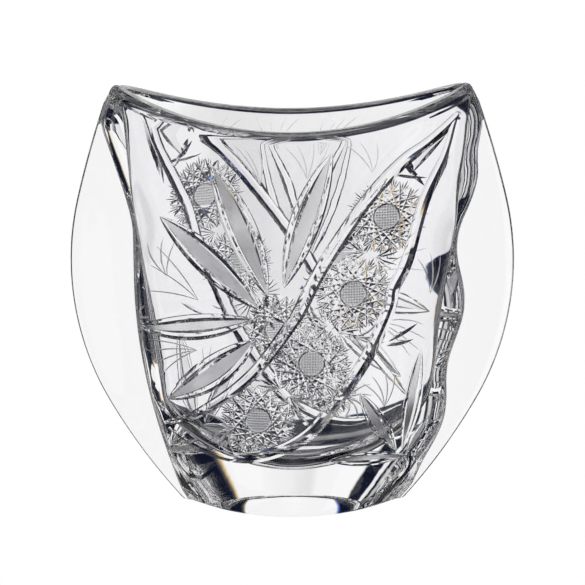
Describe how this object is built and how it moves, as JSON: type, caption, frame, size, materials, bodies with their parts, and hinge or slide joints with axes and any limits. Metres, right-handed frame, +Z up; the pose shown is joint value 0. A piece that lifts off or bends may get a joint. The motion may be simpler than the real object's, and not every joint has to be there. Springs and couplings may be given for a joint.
{
  "type": "cut crystal vase",
  "caption": "Flat, wide vase of thick clear cut glass: a barrel-shaped body between two solid wings, a saddle rim, a solid foot and floral wheel cuts on both faces.",
  "frame": {"origin": "middle of the flat underside of the foot", "axes": "+Z up, +X across the wide face towards a side edge, -Y out of the face whose long cuts run from the tip on +X down to the foot on -X; the other face carries the same cuts, turned half a turn about Z"},
  "size_m": [0.2154, 0.0652, 0.209],
  "materials": {
    "crystal": "clear, colourless, fire-polished lead crystal with bright polished wheel cuts; the leaf blades and star centres are satin-ground"
  },
  "bodies": {
    "root": {"vase_body": "crystal"}
  },
  "joints": []
}
